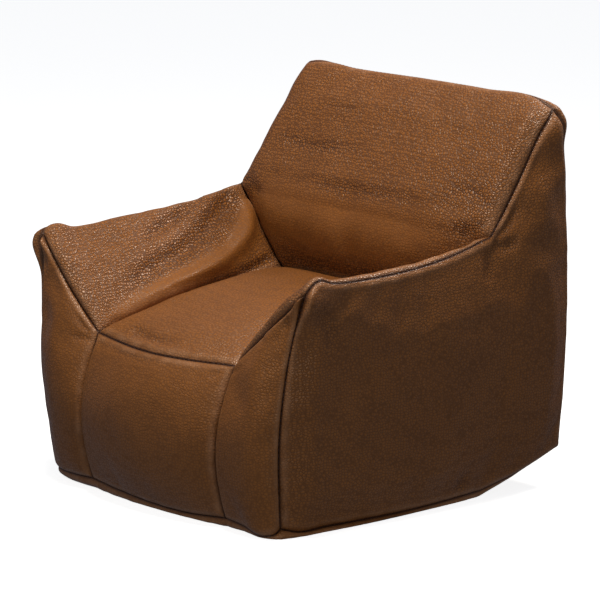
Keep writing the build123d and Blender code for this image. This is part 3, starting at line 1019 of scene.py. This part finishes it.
def add_panel(name, borders):
    """One finished panel, from its coarse shape."""
    length, height = panel_size(borders)
    u = stations(length)
    v = stations(height, slot_stations() if name == "rear_panel" else ())
    grid, nearest = seamed(borders, refined(coarse[name], u, v), u, v)
    grid, hollow = fold_in(name, grid, nearest, u, v)
    grid = warped(hemmed(grid, borders, u, v))
    nearest, hollow, v = np.pad(nearest, 1), np.pad(hollow, 1, mode="edge"), np.pad(v, 1, mode="edge")
    if name == "rear_panel":
        grid = zip_bed(grid, nearest, v)
    points, faces = grid.reshape(-1, 3), grid_faces(*grid.shape[:2])
    if name == "rear_panel":
        points, faces = cut_slot(grid, faces, v)
    piece = mesh_object(name + ".leather", points, faces)
    paint_wear(piece.data, nearest, hollow, GRAIN.get(plain(name), TAUT_GRAIN))
    give(piece, LEATHER)
    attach(piece, "cover")
    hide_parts(name)


coarse = {}
for name, borders in PANELS.items():
    length, height = panel_size(borders)
    patch = coons(borders, round(length / SIM_STEP), round(height / SIM_STEP))
    coarse[name] = blown_out(name, crowned(name, patch))
    note_normals(borders, coarse[name])
settle_inward()
for name, borders in PANELS.items():
    add_panel(name, borders)


# ----------------------------------------------------------
# Stitching


def tube(points, radii, sides=6):
    """A closed tube through the points: its vertices and faces."""
    p = np.asarray(points)
    along = np.gradient(p, axis=0)
    along /= np.linalg.norm(along, axis=1, keepdims=True)
    side = np.cross(along, (0.31, 0.17, 0.93))
    side /= np.linalg.norm(side, axis=1, keepdims=True)
    up = np.cross(side, along)
    turn = np.linspace(0, 2 * math.pi, sides, endpoint=False)
    ring = side[:, None] * np.cos(turn)[:, None] + up[:, None] * np.sin(turn)[:, None]
    vertices = p[:, None] + ring * np.asarray(radii)[:, None, None]
    index = np.arange(len(p) * sides).reshape(len(p), sides)
    walls = np.stack([index[:-1], np.roll(index[:-1], -1, 1), np.roll(index[1:], -1, 1), index[1:]], axis=-1)
    faces = walls.reshape(-1, 4).tolist() + [index[0, ::-1].tolist(), index[-1].tolist()]
    return vertices.reshape(-1, 3), faces


def joined(parts):
    """Vertices and faces of several (vertices, faces) as one."""
    vertices, faces, count = [], [], 0
    for points, polygons in parts:
        vertices.append(points)
        faces += [[i + count for i in face] for face in polygons]
        count += len(points)
    return np.concatenate(vertices), faces


THREAD = 0.8 * MM  # radius
STITCH_PITCH = 11.5 * MM
STITCH_LENGTH = 7.8 * MM
STITCH_TAPER = np.array((0.45, 0.9, 1.0, 0.9, 0.45))  # thin where it goes back through the leather
STITCH_RISE, SHOWN_RISE = 1.1 * MM, 2.1 * MM  # above the bottom of the seam's groove
SHOWN_STITCHES = ["seat_lip"]  # seams drawn less tight, where the thread stands nearer the surface
for word, side in SIDES:
    SHOWN_STITCHES += [word + "_front_upright", word + "_side_front", word + "_seat_side"]


def stitches(line):
    """Stitches along a polyline."""
    length = lengths_along(line)[-1]
    count = max(2, int(length / STITCH_PITCH))
    half = STITCH_LENGTH / 2 / length
    parts = []
    for at in (np.arange(count) + 0.5) / count:
        points = read_at(line, np.clip(at + half * np.linspace(-1, 1, len(STITCH_TAPER)), 0, 1))
        parts.append(tube(points, THREAD * STITCH_TAPER))
    return parts


def zip_stitches(side):
    """The row that holds the cover's zip above its slot (1) or below it (-1)."""
    z = ZIP_Z + side * (SLOT_HALF + 2.6 * MM)
    y = ZIP_Y + ZIP_LEAN * (z - ZIP_Z) + 0.1 * MM
    reach = ZIP_HALF + 3 * MM
    return stitches(np.array([(x, y, z) for x in np.linspace(-reach, reach, 40)]))


def add_stitching():
    """Every stitch of the cover, as one piece."""
    parts = []
    for name, seam in SEAMS.items():
        depth = SEAM_DEPTH - (SHOWN_RISE if name in SHOWN_STITCHES else STITCH_RISE)
        line = read_at(seam, SHARE) + inward[name] * depth
        parts += stitches(warped(line[:, None])[:, 0])
    parts += zip_stitches(-1) + zip_stitches(1)
    piece = mesh_object("cover_stitching", *joined(parts))
    give(piece, THREAD_NYLON)
    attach(piece, "cover")


# ----------------------------------------------------------
# Zips, liner and beads

COIL_PITCH = 2.0 * MM
COIL_WIRE = 0.33 * MM  # radius
COIL_STEPS = 10  # points in a turn


def add_coil(node, toward):
    """A coil wound along a CAD coil, its loops reaching up (1) or down (-1) to the zip's middle."""
    low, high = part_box(node)
    turns = (high.x - low.x) / COIL_PITCH
    t = np.arange(int(turns * COIL_STEPS)) / COIL_STEPS
    middle_y, middle_z = (low.y + high.y) / 2, (low.z + high.z) / 2 + toward * 0.5 * MM
    half_y, half_z = (high.y - low.y) / 2 - 0.3 * MM, (high.z - low.z) / 2 + 0.3 * MM
    phase = t * 2 * math.pi + (math.pi if toward > 0 else 0)
    x = low.x + (t + (0.25 if toward > 0 else 0)) * COIL_PITCH  # so that the two coils' loops mesh
    points = np.stack([x, middle_y + half_y * np.cos(phase), middle_z + half_z * np.sin(phase)], axis=1)
    piece = mesh_object(node + ".wire", *tube(points, np.full(len(points), COIL_WIRE), 5))
    give(piece, COIL_NYLON)
    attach(piece, "cover")
    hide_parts(node)


def unit(vectors):
    return vectors / np.linalg.norm(vectors, axis=2, keepdims=True)


def inside(depth):
    """Points and faces of the cover's panels moved this far in, straight inward at the seams."""
    parts = []
    for name, borders in PANELS.items():
        grid = warped(coarse[name])
        distances = border_distances(grid)
        u, v = np.linspace(0, 1, grid.shape[0]), np.linspace(0, 1, grid.shape[1])
        seamward = np.zeros_like(grid)
        for vectors, distance in zip(border_vectors(borders, u, v), distances):
            seamward += vectors / (distance[:, :, None] + MM) ** 2
        edge = np.exp(-np.minimum.reduce(distances) / (12 * MM))[:, :, None]
        way = unit(edge * unit(seamward) - (1 - edge) * normals(grid))
        parts.append(((grid + way * depth).reshape(-1, 3), grid_faces(*grid.shape[:2]).tolist()))
    return joined(parts)


def flatten_at_zips(points, behind_zip):
    """Moves the points to lie flat behind the liner's zip and clear behind the cover's."""
    low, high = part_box("liner_zip_tape_upper")
    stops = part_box("liner_zip_end_stops")
    zip_z = (stops[0].z + stops[1].z) / 2
    x, y, z = points.T  # views, so that y's changes are the points' own
    near = smooth_step((80 * MM - np.abs(z - zip_z)) / (60 * MM))
    near *= smooth_step((high.x + 60 * MM - np.abs(x)) / (55 * MM))
    near *= y > high.y - 60 * MM
    y += near * (low.y - behind_zip + ZIP_LEAN * (z - zip_z) - y)
    near = smooth_step((70 * MM - np.abs(z - ZIP_Z)) / (45 * MM))
    near *= smooth_step((ZIP_HALF + 70 * MM - np.abs(x)) / (60 * MM))
    y -= near * np.maximum(y - (ZIP_Y - behind_zip - 9 * MM), 0)


def add_inside(node, material, depth, voxel, behind_zip):
    """A closed soft body inside the cover."""
    points, faces = inside(depth)
    flatten_at_zips(points, behind_zip)
    points[:, 2] = np.maximum(points[:, 2], depth - 1 * MM)
    piece = mesh_object(node + ".soft", points, faces)
    closed = piece.modifiers.new("closed", "REMESH")
    closed.mode = "VOXEL"
    closed.voxel_size = voxel
    remeshed = piece.evaluated_get(bpy.context.evaluated_depsgraph_get())
    mesh = bpy.data.meshes.new_from_object(remeshed)
    piece.modifiers.clear()
    piece.data = mesh
    shade_smooth(mesh)
    give(piece, material)
    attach(piece, "cover")
    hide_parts(node)
    return piece


add_stitching()
for zip_name in ZIPS:
    add_coil(zip_name + "_coil_upper", -1)
    add_coil(zip_name + "_coil_lower", 1)
liner = add_inside("inner_liner", LINER_CLOTH, depth=20 * MM, voxel=7 * MM, behind_zip=0.4 * MM)
beads = add_inside("bead_fill", EPS_BEADS, depth=24 * MM, voxel=8 * MM, behind_zip=4.0 * MM)

for node, material in CARRIED.items():
    for slot in bpy.data.objects[node].material_slots:
        slot.material = material


# ----------------------------------------------------------
# Camera, light and floor

CAMERA_AZIMUTH, CAMERA_ELEVATION = math.radians(48.467), math.radians(11.503)
CAMERA_DISTANCE = 9.026 * FIT
CAMERA_TARGET = Vector((0.0046, 0.0053, 0.369)) * FIT
CAMERA_LENS, CAMERA_SENSOR = 269.7, 36.0
LIGHTS = (  # name, place, diameter, watts, colour
    ("overhead", (0.2, -0.45, 3.4), 0.9, 77, (1.0, 0.98, 0.96)),
    ("behind", (0.2, 2.1, 2.5), 0.55, 40, (1.0, 0.97, 0.94)),
    ("front", (-1.3, -2.2, 3.2), 0.8, 4, (1, 1, 1)),
    ("camera_side", (0.5, -3.0, 1.9), 0.8, 10, (1.0, 0.98, 0.95)),
    ("right", (3.4, -1.2, 1.0), 1.6, 12.5, (1, 1, 1)),
)
LIGHTS_TARGET = (0, 0, 0.35)
AMBIENT = 0.155  # the fill light from all round; the camera itself sees plain white there
AMBIENT_COLOUR, WHITE = (0.80, 0.95, 1.25, 1), (1, 1, 1, 1)
FLOOR_REACH = 30.0


def aim(thing, at, toward):
    thing.location = at
    thing.rotation_mode = "QUATERNION"
    thing.rotation_quaternion = (Vector(at) - Vector(toward)).to_track_quat("Z", "Y")


def add_camera():
    flat = math.cos(CAMERA_ELEVATION)
    back = Vector(
        (math.sin(CAMERA_AZIMUTH) * flat, -math.cos(CAMERA_AZIMUTH) * flat, math.sin(CAMERA_ELEVATION))
    )
    camera = bpy.data.objects.new("camera", bpy.data.cameras.new("camera"))
    camera.data.sensor_width = CAMERA_SENSOR
    camera.data.lens = CAMERA_LENS
    bpy.context.scene.collection.objects.link(camera)
    aim(camera, CAMERA_TARGET + back * CAMERA_DISTANCE, CAMERA_TARGET)
    bpy.context.scene.camera = camera


def add_light(name, at, diameter, watts, colour):
    data = bpy.data.lights.new(name, "AREA")
    data.shape = "DISK"
    data.size = diameter
    data.energy = watts
    data.color = colour
    light = bpy.data.objects.new(name, data)
    bpy.context.scene.collection.objects.link(light)
    aim(light, at, LIGHTS_TARGET)


def add_world():
    """Faint light from all round, and a white backdrop."""
    n = Nodes(bpy.data.worlds.new("studio"), "Background")
    seen = n.add("LightPath").outputs["Is Camera Ray"]
    n.put(n.shader, "Strength", n.math("MULTIPLY_ADD", seen, 1.0 - AMBIENT, AMBIENT))
    n.put(n.shader, "Color", n.mix(seen, AMBIENT_COLOUR, WHITE))
    bpy.context.scene.world = n.owner
    bpy.context.scene.view_settings.view_transform = "Standard"


def add_floor():
    """A white floor that doesn't light the chair's sides."""
    n = material_nodes("floor_white")
    n.put(n.shader, "Base Color", (0.63, 0.60, 0.55, 1))
    n.shader.inputs["Roughness"].default_value = 0.8
    n.shader.inputs["Specular IOR Level"].default_value = 0.0
    n.shader.inputs["Emission Color"].default_value = WHITE
    n.shader.inputs["Emission Strength"].default_value = 0.85
    ends = (-FLOOR_REACH, FLOOR_REACH)
    points = [(x, y, 0) for y in ends for x in ends]
    floor = mesh_object("floor", points, [(0, 1, 3, 2)])
    floor.visible_diffuse = False
    floor.visible_glossy = False
    give(floor, n.owner)


add_camera()
for light in LIGHTS:
    add_light(*light)
add_world()
add_floor()
